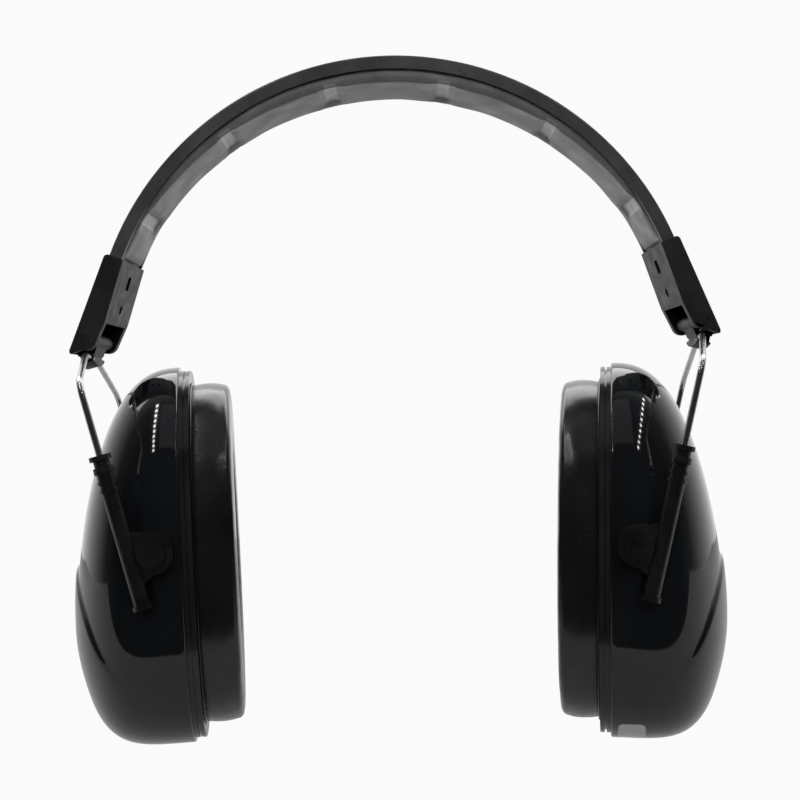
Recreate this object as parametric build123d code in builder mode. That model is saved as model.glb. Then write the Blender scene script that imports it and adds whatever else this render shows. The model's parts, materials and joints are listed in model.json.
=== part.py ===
from build123d import *
from math import cos, pi, radians, sin, sqrt, tan
import os

# Folding-headband hearing protection earmuffs.
#
# Millimetres. +Z is up, +Y is the rear, and +X is towards the cup called right, which is on the right
# when the earmuffs are seen from the front. The origin is the crown: the middle of the lining's inner
# face, where the top of a head bears. Both sides use the same moulded parts: the left side is the right
# side turned half a turn about Z. At rest each yoke is swivelled, and each cup tilted, by its own amount.

# ---- driving dimensions (mm, degrees) ------------------------------------------------------
# headband
BAND_OUTER_R = 87.5          # outer face of the cover
BAND_WIDTH = 28.0
BAND_END = 22.0              # where the arc ends, above horizontal
COVER_WALL = 1.1
COVER_LIP_R = 83.6           # inner edge of the cover's side walls
COVER_ROUND = 0.9
LEAF_R = 85.9                # middle of the steel leaf
LEAF_THICKNESS = 0.8
LEAF_WIDTH = 18.0
LEAF_TAIL = 16.6             # straight tail of the leaf inside each end block
LINING_R = 85.7              # inner face of the lining, thickest at the crown
LINING_DROP = 5.0            # its centre, below the cover's
LINING_SKIN = 1.0
LINING_WIDTH = 25.4
SLIP = 0.05                  # gap between parts that only touch

# end block, measured down from the band's end and outwards from the middle of the leaf
BLOCK_WIDTH = 29.6
BLOCK_OUTER = 2.6
BLOCK_INNER_TOP = 2.9
BLOCK_BREAK = 18.0           # where the inner face turns towards the hinge
BLOCK_INNER_BREAK = 4.1
BLOCK_END = 30.4
CAVITY_TOP = 18.8
CAVITY_FLOOR = 1.8
BLOCK_ROUND = 1.2
EAR_THICKNESS = 3.0
LATCH_DOWN = 5.8             # window over the leaf's latch
LATCH_SIZE = (3.6, 4.2)
LATCH_CORNER_R = 0.8
RIVET_DOWN = 14.0
RIVET_R = 1.4
RIVET_SUNK = 0.3             # below the inner face
FOLD_AXIS_DOWN = 25.1
FOLD_AXIS_IN = 0.6
LOBE_R = 3.1
TRUNNION_R = 1.3
RUNNING_GAP = 0.06

# hinge link and wire yoke
LINK_DROP = 5.3              # fold axis to the yoke's crossbar
BARREL_R = 2.1
NECK_SIZE = (3.6, 12.0)       # between the barrel and the saddle
PASSAGE_HALF = 8.0           # the hourglass passage for the crossbar reaches this far
LENS_HALF = 6.8
LENS_THICKNESS = 4.0
LENS_TOP = 1.4               # above the crossbar's axis
LENS_EDGE = 1.4              # below it, at the two ends
LENS_BULGE = 2.8             # below it, in the middle
WIRE_R = 0.9
LEG_SLANT = 14.2             # legs lean in towards the head, from vertical
LEG_Y = 47.5                 # legs, fore and aft of the middle
CROSSBAR_HALF = 14.0
SHOULDER_DROP = 10.0
SHOULDER_R = 6.0
CROSSBAR_R = 8.0
SWIVEL = 12.0                # how far the yoke turns each way in the link

# slider brackets
PIVOT_DROP = 57.7            # crossbar to the cup's pivot along the legs, sliders right up
PIVOT_IN = 5.7               # pivot axis inboard of the legs
TUBE_R = 2.2
TUBE_BORE_R = 1.55
TUBE_TOP = 24.2              # above the pivot
TUBE_BOTTOM = 13.3           # below the pivot
COLLAR_TOP = 28.2
TUBE_RINGS = ((0.9, 0.5), (3.6, 0.35), (5.8, 0.35))   # below the tube's top, and how far they stand out
RING_HEIGHT = 0.9
FOOT_RING = (0.45, 1.2)      # how far the ring at the tube's foot stands out, and its height
BUSH_NECK_R = 2.1
BUSH_SEAT_R = 2.65
BUSH_FLANGE_R = 2.9
BUSH_FLANGE = 1.3
BUSH_SPIGOT = 7.0
TUBE_FLOOR = 1.0
LEG_END = PIVOT_DROP + TUBE_BOTTOM - TUBE_FLOOR - 0.4
STOP_LENGTH = 2.4
BOSS_R = 5.7
BOSS_INNER_Y = 44.4
BOSS_OUTER_Y = 48.5
PIN_R = 2.4
PIN_HEAD_R = 3.8

# ear cup, measured from the rim plane, outwards from the head
CUP_HEIGHT = 110.0
CUP_WIDTH = 87.2
CUP_DEPTH = 32.6
CUP_LOW_POINT = -17.0        # the face bulges most this far below the cup's middle
SHELL_WALL = 2.2
RIM_TO_PIVOT = 7.5
PIVOT_RISE = 4.0             # pivot above the cup's middle
OVAL_POWER = 2.3
PLATE_THICKNESS = 3.0
PLATE_INSET = 1.2
CUSHION_HEIGHT = 100.0
CUSHION_WIDTH = 80.0
CUSHION_THICKNESS = 11.3
EAR_HEIGHT = 58.0
EAR_WIDTH = 39.0
SKIN = 0.8

# how the two sides stand at rest: which way they face, the yoke's swivel in its link, how far the
# sliders are down the legs, and how far the cup's top leans out
SIDES = {"right": {"heading": 1, "swivel": -10.0, "slid": 2.9, "lean": 2.0},
         "left": {"heading": -1, "swivel": 7.0, "slid": 0.0, "lean": 1.0}}

os.makedirs("parts", exist_ok=True)


def save(builder, name):
    builder.part.label = name
    export_step(builder.part, f"parts/{name}.step")


def frame_in(parent, x=0.0, y=0.0, z=0.0, about_y=0.0, about_z=0.0):
    """A frame placed in its parent's axes, turned about its y axis and then its own z axis."""
    return Plane(parent.location * Location((x, y, z), (0, about_y, about_z)))


def on(frame, plane):
    """A sketch plane that is written in a frame's own axes."""
    return Plane(frame.location * plane.location)


def oval(half_width, half_height, middle=0.0, mode=Mode.ADD, points=20):
    """A rounded-rectangular oval, a superellipse, as one closed curve."""
    def power(value):
        return abs(value) ** (2 / OVAL_POWER) * (1 if value >= 0 else -1)
    turns = [2 * pi * step / points for step in range(points)]
    corners = [(half_width * power(cos(t)), middle + half_height * power(sin(t))) for t in turns]
    with BuildLine() as outline:
        Spline(*corners, periodic=True)
    make_face(outline.line, mode=mode)


# ---- headband ------------------------------------------------------------------------------
BAND_CENTRE_Z = LINING_DROP - LINING_R
SWEEP = 180 - 2 * BAND_END
half_arc = radians(BAND_END)
BAND_AXIS = Axis((0, 0, BAND_CENTRE_Z), (0, 1, 0))
band_start = Plane(origin=(0, 0, BAND_CENTRE_Z), x_dir=(cos(radians(BAND_END)), 0, sin(radians(BAND_END))),
                   z_dir=(sin(radians(BAND_END)), 0, -cos(radians(BAND_END))))


def band_section(inner_r, outer_r, width, mode=Mode.ADD):
    with Locations(((inner_r + outer_r) / 2, 0)):
        Rectangle(outer_r - inner_r, width, mode=mode)


# the cover is a channel, open towards the head
with BuildPart() as headband_cover:
    with BuildSketch(band_start):
        band_section(COVER_LIP_R, BAND_OUTER_R, BAND_WIDTH)
        fillet(vertices().group_by(Axis.X)[-1], COVER_ROUND)
        band_section(COVER_LIP_R - 1, BAND_OUTER_R - COVER_WALL, BAND_WIDTH - 2 * COVER_WALL, Mode.SUBTRACT)
    revolve(axis=BAND_AXIS, revolution_arc=-SWEEP)
save(headband_cover, "headband_cover")


def lining_arc(radius):
    """Both ends and the top of an arc with the lining's centre, cut off where the band ends."""
    angle = radians(SWEEP / 2)
    reach = sqrt(radius ** 2 - (LINING_DROP * sin(angle)) ** 2) - LINING_DROP * cos(angle)
    end_x, end_z = reach * sin(angle), BAND_CENTRE_Z + reach * cos(angle)
    return (-end_x, end_z), (0, BAND_CENTRE_Z - LINING_DROP + radius), (end_x, end_z)


def cover_arc(radius):
    end_x, end_z = radius * cos(half_arc), BAND_CENTRE_Z + radius * sin(half_arc)
    return (-end_x, end_z), (0, BAND_CENTRE_Z + radius), (end_x, end_z)


def make_layer(inner, outer, name):
    """A layer of the headband between two arcs, as wide as the lining."""
    with BuildPart() as layer:
        with BuildSketch(Plane.XZ) as profile:
            with BuildLine() as outline:
                ThreePointArc(*inner)
                ThreePointArc(*outer)
                Line(inner[0], outer[0])
                Line(inner[2], outer[2])
            make_face(outline.line)
        extrude(profile.sketch, amount=LINING_WIDTH / 2, both=True)
    save(layer, name)


make_layer(lining_arc(LINING_R), lining_arc(LINING_R + LINING_SKIN), "headband_pad")
make_layer(lining_arc(LINING_R + LINING_SKIN + SLIP),
           cover_arc(LEAF_R - LEAF_THICKNESS / 2 - SLIP), "headband_foam")


def leaf_edge(radius):
    """The leaf seen from the front: the band's arc with a straight tail at each end."""
    along = (sin(half_arc), -cos(half_arc))
    end = (radius * cos(half_arc), BAND_CENTRE_Z + radius * sin(half_arc))
    tip = (end[0] + LEAF_TAIL * along[0], end[1] + LEAF_TAIL * along[1])
    return [tip, end, (0, BAND_CENTRE_Z + radius), (-end[0], end[1]), (-tip[0], tip[1])]


with BuildPart() as headband_leaf:
    with BuildSketch(Plane.XZ):
        with BuildLine():
            outer = leaf_edge(LEAF_R + LEAF_THICKNESS / 2)
            inner = leaf_edge(LEAF_R - LEAF_THICKNESS / 2)
            for edge in (outer, inner):
                Line(edge[0], edge[1])
                ThreePointArc(edge[1], edge[2], edge[3])
                Line(edge[3], edge[4])
            Line(outer[0], inner[0])
            Line(outer[4], inner[4])
        make_face()
    extrude(amount=LEAF_WIDTH / 2, both=True)
    for side in SIDES.values():
        rivet_frame = frame_in(Plane((0, 0, BAND_CENTRE_Z), x_dir=(side["heading"], 0, 0)),
                               LEAF_R * cos(half_arc), 0, LEAF_R * sin(half_arc), about_y=-BAND_END)
        with BuildSketch(on(rivet_frame, Plane.YZ.offset(-LEAF_THICKNESS))):
            with Locations((0, -RIVET_DOWN)):
                Circle(RIVET_R + SLIP)
        extrude(amount=2 * LEAF_THICKNESS, mode=Mode.SUBTRACT)
save(headband_leaf, "headband_leaf")


# ---- end block -----------------------------------------------------------------------------
def make_end_block(block, snap_in, name):
    """Moulded end of the headband: holds the leaf, and carries the link between two ears."""
    ear_inner = BLOCK_WIDTH / 2 - EAR_THICKNESS
    axis_x, axis_z = -FOLD_AXIS_IN, -FOLD_AXIS_DOWN
    with BuildPart() as body:
        with BuildSketch(on(block, Plane.XZ)):
            with BuildLine():
                Polyline((BLOCK_OUTER, 0), (-BLOCK_INNER_TOP, 0), (-BLOCK_INNER_BREAK, -BLOCK_BREAK),
                         (axis_x - LOBE_R, axis_z))
                ThreePointArc((axis_x - LOBE_R, axis_z),
                              (axis_x - LOBE_R * sin(pi / 4), axis_z - LOBE_R * cos(pi / 4)),
                              (axis_x, axis_z - LOBE_R))
                Polyline((axis_x, axis_z - LOBE_R), (CAVITY_FLOOR - 0.6, 0.6 - BLOCK_END),
                         (CAVITY_FLOOR, -BLOCK_END), (BLOCK_OUTER - 0.4, -BLOCK_END),
                         (BLOCK_OUTER, 0.8 - BLOCK_END), (BLOCK_OUTER, 0))
            make_face()
        extrude(amount=BLOCK_WIDTH / 2, both=True)
        along_y = body.edges().filter_by(Axis.Y)
        top_outer = along_y.sort_by_distance(block.from_local_coords((BLOCK_OUTER, 0, 0)))
        fillet(top_outer[0], BLOCK_ROUND)
        # the cavity between the ears, open below and towards the head
        with BuildSketch(on(block, Plane.XY.offset(-CAVITY_TOP))):
            with Locations((CAVITY_FLOOR - BLOCK_END / 2, 0)):
                Rectangle(BLOCK_END, 2 * ear_inner)
        extrude(amount=-BLOCK_END, mode=Mode.SUBTRACT)
        # slot for the leaf
        with BuildSketch(on(block, Plane.XY)):
            Rectangle(LEAF_THICKNESS + 0.1, LEAF_WIDTH + 0.2)
        extrude(amount=-(LEAF_TAIL + 0.4), mode=Mode.SUBTRACT)
        # latch window and rivet hole in the inner face
        with BuildSketch(on(block, Plane.YZ)):
            with Locations((0, -LATCH_DOWN)):
                RectangleRounded(*LATCH_SIZE, LATCH_CORNER_R)
        extrude(amount=-2 * BLOCK_INNER_BREAK, mode=Mode.SUBTRACT)
        with BuildSketch(on(block, Plane.YZ.offset(CAVITY_FLOOR))):
            with Locations((0, -RIVET_DOWN)):
                Circle(RIVET_R)
        extrude(amount=-2 * BLOCK_INNER_BREAK, mode=Mode.SUBTRACT)
        # trunnion holes, one of which may be open so that the link snaps in
        with BuildSketch(on(block, Plane.XZ)):
            with Locations((axis_x, axis_z)):
                Circle(TRUNNION_R + RUNNING_GAP)
        extrude(amount=BLOCK_WIDTH, both=True, mode=Mode.SUBTRACT)
        if snap_in:
            with BuildSketch(on(block, Plane.XZ.offset(ear_inner - 0.5))) as mouth:
                with Locations((axis_x - 2.5, axis_z - 1.4)):
                    Rectangle(5, 2.1, rotation=29)
            extrude(mouth.sketch, amount=EAR_THICKNESS + 1, mode=Mode.SUBTRACT)
    save(body, name)


def make_rivet(block, name):
    with BuildPart() as rivet:
        with BuildSketch(on(block, Plane.YZ.offset(CAVITY_FLOOR))):
            with Locations((0, -RIVET_DOWN)):
                Circle(RIVET_R)
        extrude(amount=RIVET_SUNK - BLOCK_INNER_TOP - CAVITY_FLOOR)
    save(rivet, name)


# ---- hinge link ----------------------------------------------------------------------------
def make_link(link, crossbar, name):
    """Barrel with two trunnions, and below it a lens-shaped saddle for the yoke's crossbar."""
    ear_inner = BLOCK_WIDTH / 2 - EAR_THICKNESS
    with BuildPart() as body:
        with BuildSketch(on(link, Plane.XZ)):
            Circle(BARREL_R)
        extrude(amount=ear_inner - 0.3, both=True)
        with BuildSketch(on(link, Plane.XZ)):
            Circle(TRUNNION_R)
        extrude(amount=BLOCK_WIDTH / 2 - 0.2, both=True)
        with BuildSketch(on(link, Plane.XY)):
            Rectangle(*NECK_SIZE)
        extrude(amount=-LINK_DROP)
        with BuildSketch(on(crossbar, Plane.YZ)):
            with BuildLine():
                ThreePointArc((-LENS_HALF, -LENS_EDGE), (0, -LENS_BULGE), (LENS_HALF, -LENS_EDGE))
                Polyline((LENS_HALF, -LENS_EDGE), (LENS_HALF, LENS_TOP), (-LENS_HALF, LENS_TOP),
                         (-LENS_HALF, -LENS_EDGE))
            make_face()
        extrude(amount=LENS_THICKNESS / 2, both=True)
        # hourglass passage that lets the crossbar swivel
        waist, reach = WIRE_R + RUNNING_GAP, PASSAGE_HALF
        mouth = waist + reach * tan(radians(SWIVEL + 0.7))
        with BuildSketch(on(crossbar, Plane.XY.offset(-waist))):
            with BuildLine():
                Polyline((waist, 0), (mouth, reach), (-mouth, reach), (-waist, 0), (-mouth, -reach),
                         (mouth, -reach), (waist, 0))
            make_face()
        extrude(amount=2 * waist, mode=Mode.SUBTRACT)
    save(body, name)


# ---- wire yoke -----------------------------------------------------------------------------
def make_yoke(yoke, name):
    with BuildPart() as wire:
        with BuildLine(on(yoke, Plane.YZ)) as route:
            FilletPolyline((-LEG_Y, -LEG_END), (-LEG_Y, -SHOULDER_DROP), (-CROSSBAR_HALF, 0),
                           (CROSSBAR_HALF, 0), (LEG_Y, -SHOULDER_DROP), (LEG_Y, -LEG_END),
                           radius=(SHOULDER_R, CROSSBAR_R, CROSSBAR_R, SHOULDER_R))
        with BuildSketch(Plane(origin=route.line @ 0, z_dir=route.line % 0)):
            Circle(WIRE_R)
        sweep()
    save(wire, name)


def make_wire_stop(yoke, y, name):
    with BuildPart() as stop:
        with BuildSketch(on(yoke, Plane.XY.offset(-LEG_END))):
            with Locations((0, y)):
                Circle(TUBE_BORE_R - 0.08)
                Circle(WIRE_R, mode=Mode.SUBTRACT)
        extrude(amount=STOP_LENGTH)
    save(stop, name)


# ---- slider bracket ------------------------------------------------------------------------
def disc(frame, y, radius, z_from, z_to, mode=Mode.ADD):
    """A round step on a leg's axis."""
    with BuildSketch(on(frame, Plane.XY.offset(z_from))) as profile:
        with Locations((0, y)):
            Circle(radius)
    extrude(profile.sketch, amount=z_to - z_from, mode=mode)


def side_disc(frame, x, z, radius, y_from, y_to, mode=Mode.ADD):
    """A round step on a pivot's axis."""
    with BuildSketch(on(frame, Plane.XZ.offset(-y_from))) as profile:
        with Locations((x, z)):
            Circle(radius)
    extrude(profile.sketch, amount=y_from - y_to, mode=mode)


def make_bracket(yoke, sense, pivot_z, name):
    """Tube that slides on one leg, with the ring that the cup's pin turns in."""
    y = sense * LEG_Y
    with BuildPart() as bracket:
        disc(yoke, y, TUBE_R, pivot_z - TUBE_BOTTOM, pivot_z + TUBE_TOP)
        foot = pivot_z - TUBE_BOTTOM
        disc(yoke, y, TUBE_R + FOOT_RING[0], foot, foot + FOOT_RING[1])
        for down, proud in TUBE_RINGS:
            ring = pivot_z + TUBE_TOP - down
            disc(yoke, y, TUBE_R + proud, ring, ring + RING_HEIGHT)
        side_disc(yoke, -PIVOT_IN, pivot_z, BOSS_R, sense * BOSS_INNER_Y, sense * BOSS_OUTER_Y)
        with BuildSketch(on(yoke, Plane.XZ.offset(-sense * (BOSS_INNER_Y + 1)))):
            with BuildLine():
                Polyline((0, pivot_z + 8), (0, pivot_z - 8), (-PIVOT_IN, pivot_z - 5.2),
                         (-PIVOT_IN, pivot_z + 5.2), (0, pivot_z + 8))
            make_face()
        extrude(amount=-sense * (BOSS_OUTER_Y - BOSS_INNER_Y - 1.5))
        disc(yoke, y, TUBE_BORE_R, pivot_z - TUBE_BOTTOM + TUBE_FLOOR, pivot_z + TUBE_TOP, Mode.SUBTRACT)
        side_disc(yoke, -PIVOT_IN, pivot_z, PIN_R + RUNNING_GAP, sense * (BOSS_INNER_Y - 1),
                  sense * (BOSS_OUTER_Y + 1), Mode.SUBTRACT)
    save(bracket, name)


def make_bush(yoke, y, pivot_z, name):
    """Friction bush in the mouth of a tube: a flared collar above, a spigot inside."""
    seat = pivot_z + TUBE_TOP
    top = pivot_z + COLLAR_TOP
    with BuildPart() as bush:
        disc(yoke, y, BUSH_NECK_R, seat, top)
        disc(yoke, y, BUSH_SEAT_R, seat, seat + RING_HEIGHT)
        disc(yoke, y, BUSH_FLANGE_R, top - BUSH_FLANGE, top)
        disc(yoke, y, TUBE_BORE_R - 0.03, seat - BUSH_SPIGOT, seat)
        disc(yoke, y, WIRE_R + 0.04, seat - BUSH_SPIGOT, top, Mode.SUBTRACT)
    save(bush, name)


# ---- ear cup -------------------------------------------------------------------------------
def cup_section(depth, inset=0.0):
    """Half width, half height and middle of the cup's outline at a depth from its rim."""
    reach = depth / (CUP_DEPTH - inset)
    top = CUP_LOW_POINT + (CUP_HEIGHT / 2 - CUP_LOW_POINT - inset) * (1 - reach ** 2.6) ** (1 / 1.5)
    bottom = CUP_LOW_POINT - (CUP_HEIGHT / 2 + CUP_LOW_POINT - inset) * (1 - reach ** 4.6) ** (1 / 2.1)
    half_width = (CUP_WIDTH / 2 - inset) * (1 - reach ** 3.2) ** (1 / 1.8)
    return half_width, (top - bottom) / 2, (top + bottom) / 2


def make_shell(cup, name):
    rim = -RIM_TO_PIVOT
    steps = (0, 0.2, 0.4, 0.6, 0.75, 0.88, 0.96, 0.992)
    with BuildPart() as shell:
        for inset, mode in ((0.0, Mode.ADD), (SHELL_WALL, Mode.SUBTRACT)):
            for step in steps:
                depth = step * (CUP_DEPTH - inset)
                half_width, half_height, middle = cup_section(depth, inset)
                with BuildSketch(on(cup, Plane.YZ.offset(rim + depth))):
                    oval(half_width, half_height, middle - PIVOT_RISE)
            loft(mode=mode)
        for sense in (1, -1):
            side_disc(cup, 0, 0, 5.0, sense * (BOSS_INNER_Y - 0.3), sense * 41.0)
            side_disc(cup, 0, 0, PIN_R, sense * 39, sense * BOSS_INNER_Y, Mode.SUBTRACT)
    save(shell, name)


def make_pivot_pin(cup, sense, name):
    with BuildPart() as pin:
        side_disc(cup, 0, 0, PIN_R, sense * 41.0, sense * (BOSS_OUTER_Y + 0.2))
        side_disc(cup, 0, 0, PIN_HEAD_R, sense * (BOSS_OUTER_Y + 0.2), sense * (BOSS_OUTER_Y + 1.3))
    save(pin, name)


def oval_ring(cup, near, far, outline, hole, mode=Mode.ADD):
    """A flat oval ring between two distances inboard of the pivot."""
    with BuildSketch(on(cup, Plane.YZ.offset(-near))) as profile:
        oval(*outline, -PIVOT_RISE)
        oval(*hole, -PIVOT_RISE, mode=Mode.SUBTRACT)
    extrude(profile.sketch, amount=near - far, mode=mode)


def grown(half_sizes, step):
    return half_sizes[0] + step, half_sizes[1] + step


CUP_RIM = (CUP_WIDTH / 2, CUP_HEIGHT / 2)
CUSHION_OUTLINE = (CUSHION_WIDTH / 2, CUSHION_HEIGHT / 2)
EAR_OPENING = (EAR_WIDTH / 2, EAR_HEIGHT / 2)
PLATE_NEAR = RIM_TO_PIVOT
CUSHION_NEAR = PLATE_NEAR + PLATE_THICKNESS
CUSHION_FACE = CUSHION_NEAR + CUSHION_THICKNESS


def make_seal_plate(cup, name):
    """Ring that closes the shell and carries the cushion, with a groove round its edge."""
    groove = PLATE_NEAR + 1.2
    with BuildPart() as plate:
        oval_ring(cup, PLATE_NEAR, CUSHION_NEAR, grown(CUP_RIM, -PLATE_INSET), grown(EAR_OPENING, 1.5))
        oval_ring(cup, groove, groove + 0.6, CUP_RIM, grown(CUP_RIM, -PLATE_INSET - 0.8), Mode.SUBTRACT)
    save(plate, name)


def make_cushion_skin(cup, name):
    """Soft cover of the ear cushion: a closed hollow ring."""
    with BuildPart() as cushion:
        oval_ring(cup, CUSHION_NEAR, CUSHION_FACE, CUSHION_OUTLINE, EAR_OPENING)
        face = cushion.faces().sort_by_distance(cup.from_local_coords((-CUSHION_FACE, 0, 36)))[0]
        fillet(face.edges(), 3.0)
        oval_ring(cup, CUSHION_NEAR + SKIN, CUSHION_FACE - 3.0, grown(CUSHION_OUTLINE, -SKIN),
                  grown(EAR_OPENING, SKIN), Mode.SUBTRACT)
    save(cushion, name)


def make_cushion_foam(cup, name):
    with BuildPart() as core:
        oval_ring(cup, CUSHION_NEAR + SKIN + 0.05, CUSHION_FACE - 3.05, grown(CUSHION_OUTLINE, -SKIN - 0.05),
                  grown(EAR_OPENING, SKIN + 0.05))
    save(core, name)


def make_liner(cup, name):
    """Open-cell foam slab that fills the back of the cup."""
    with BuildPart() as liner:
        for depth in (1.0, 11.0):
            with BuildSketch(on(cup, Plane.YZ.offset(depth - RIM_TO_PIVOT))):
                half_width, half_height, middle = cup_section(depth, SHELL_WALL)
                oval(half_width - 3.0, half_height - 1.0, middle - PIVOT_RISE)
        loft()
    save(liner, name)


# ---- both sides ----------------------------------------------------------------------------
def side_frames(heading, swivel, slid, lean):
    """The frames of one side: end block, fold axis, crossbar as built, yoke and cup at rest."""
    side = Plane(origin=(0, 0, BAND_CENTRE_Z), x_dir=(heading, 0, 0), z_dir=(0, 0, 1))
    block = frame_in(side, LEAF_R * cos(half_arc), 0, LEAF_R * sin(half_arc), about_y=-BAND_END)
    link = frame_in(block, -FOLD_AXIS_IN, 0, -FOLD_AXIS_DOWN)
    crossbar = frame_in(link, 0, 0, -LINK_DROP, about_y=LEG_SLANT + BAND_END)
    yoke = frame_in(crossbar, about_z=swivel)
    cup = frame_in(yoke, -PIVOT_IN, 0, -PIVOT_DROP - slid, about_y=lean - LEG_SLANT)
    return block, link, crossbar, yoke, cup


for side_name, side in SIDES.items():
    block, link, crossbar, yoke, cup = side_frames(**side)
    make_end_block(block, side_name == "right", f"end_block_{side_name}")
    make_rivet(block, f"leaf_rivet_{side_name}")
    make_link(link, crossbar, f"hinge_link_{side_name}")
    make_yoke(yoke, f"wire_yoke_{side_name}")
    pivot_z = -PIVOT_DROP - side["slid"]
    for end, sense in (("front", -side["heading"]), ("rear", side["heading"])):
        make_wire_stop(yoke, sense * LEG_Y, f"wire_stop_{end}_{side_name}")
        make_bracket(yoke, sense, pivot_z, f"bracket_{end}_{side_name}")
        make_bush(yoke, sense * LEG_Y, pivot_z, f"friction_bush_{end}_{side_name}")
        make_pivot_pin(cup, sense, f"pivot_pin_{end}_{side_name}")
    make_shell(cup, f"cup_shell_{side_name}")
    make_seal_plate(cup, f"seal_plate_{side_name}")
    make_cushion_skin(cup, f"ear_cushion_{side_name}")
    make_cushion_foam(cup, f"cushion_foam_{side_name}")
    make_liner(cup, f"foam_liner_{side_name}")
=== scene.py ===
"""Looks for the folding-headband hearing protection earmuffs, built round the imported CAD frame.

Lengths named in millimetres are turned into metres by mm(). Each side has a cup frame: x away from
the head, y along the tilt pins, z up, with its origin on the pins' axis.
"""

import json
from math import atan2, cos, degrees, hypot, pi, radians, sin

import bmesh
import bpy
from mathutils import Matrix, Vector


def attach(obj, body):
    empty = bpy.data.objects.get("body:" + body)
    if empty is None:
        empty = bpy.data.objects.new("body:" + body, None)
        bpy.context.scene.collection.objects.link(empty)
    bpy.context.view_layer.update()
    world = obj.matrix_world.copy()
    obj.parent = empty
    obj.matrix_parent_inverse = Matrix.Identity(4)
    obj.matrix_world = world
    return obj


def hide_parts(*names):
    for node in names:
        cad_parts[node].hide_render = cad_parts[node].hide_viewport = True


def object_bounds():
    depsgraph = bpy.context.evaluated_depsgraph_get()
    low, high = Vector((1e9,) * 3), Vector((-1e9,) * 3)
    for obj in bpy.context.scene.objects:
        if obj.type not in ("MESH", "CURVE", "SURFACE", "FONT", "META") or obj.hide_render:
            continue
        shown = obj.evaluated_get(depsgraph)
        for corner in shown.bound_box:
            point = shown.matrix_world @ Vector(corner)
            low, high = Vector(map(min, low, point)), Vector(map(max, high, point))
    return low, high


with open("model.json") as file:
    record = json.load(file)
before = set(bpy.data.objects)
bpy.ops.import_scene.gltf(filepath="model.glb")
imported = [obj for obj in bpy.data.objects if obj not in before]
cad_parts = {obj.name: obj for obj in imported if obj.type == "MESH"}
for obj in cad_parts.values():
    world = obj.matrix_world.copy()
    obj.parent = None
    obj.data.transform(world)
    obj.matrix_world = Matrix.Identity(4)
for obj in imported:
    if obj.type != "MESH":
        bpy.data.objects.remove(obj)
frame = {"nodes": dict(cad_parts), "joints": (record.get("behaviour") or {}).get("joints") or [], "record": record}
cad_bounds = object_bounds()
record = frame["record"]
joints = {joint["name"]: joint for joint in frame["joints"]}
mounts = {mount["name"]: mount for mount in record["mounts"]}

# ---- driving dimensions (mm), as in the CAD -------------------------------------------------
CUP_HEIGHT = 110.0
CUP_WIDTH = 87.2
CUP_DEPTH = 32.6
CUP_LOW_POINT = -17.0
SHELL_WALL = 2.2
RIM_TO_PIVOT = 7.5
PIVOT_RISE = 4.0
OVAL_POWER = 2.3
TOP_POWERS = (2.6, 1.5)       # how the cup's outline closes towards its outer face: upwards,
BOTTOM_POWERS = (4.6, 2.1)    # downwards
SIDE_POWERS = (3.2, 1.8)      # and to both sides
PLATE_THICKNESS = 3.0
CUSHION_THICKNESS = 11.3
CUSHION_HALF = (40.0, 50.0)
EAR_HALF = (19.5, 29.0)
BOSS_R = 5.0
BOSS_FROM, BOSS_TO = 38.0, 44.1
PIN_R = 2.4
PIN_GAP = 0.02
BOSS_AROUND = 48

BAND_CENTRE_Z = -80.7
COVER_LIP_R = 83.6
PAD_BACK_R = 85.4
PAD_HALF_WIDTH = 12.7
LINING_R = 85.7
LINING_DROP = 5.0             # the lining's centre, below the cover's
BAND_HALF_ANGLE = 67.9        # from straight up to each end block

SIDES = {"right": 1, "left": -1}
MM = 0.001                    # metres
PER_METRE = 1000              # millimetres


def mm(value):
    return value * MM


def ease(low, high, value):
    """0 below low, 1 above high and smooth between."""
    step = min(1.0, max(0.0, (value - low) / (high - low)))
    return step * step * (3 - 2 * step)


# ---- materials ------------------------------------------------------------------------------
def set_range(node, *numbers):
    """Sets a Map Range node's ends, before and after."""
    for socket, number in zip(("From Min", "From Max", "To Min", "To Max"), numbers):
        node.inputs[socket].default_value = number


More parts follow.
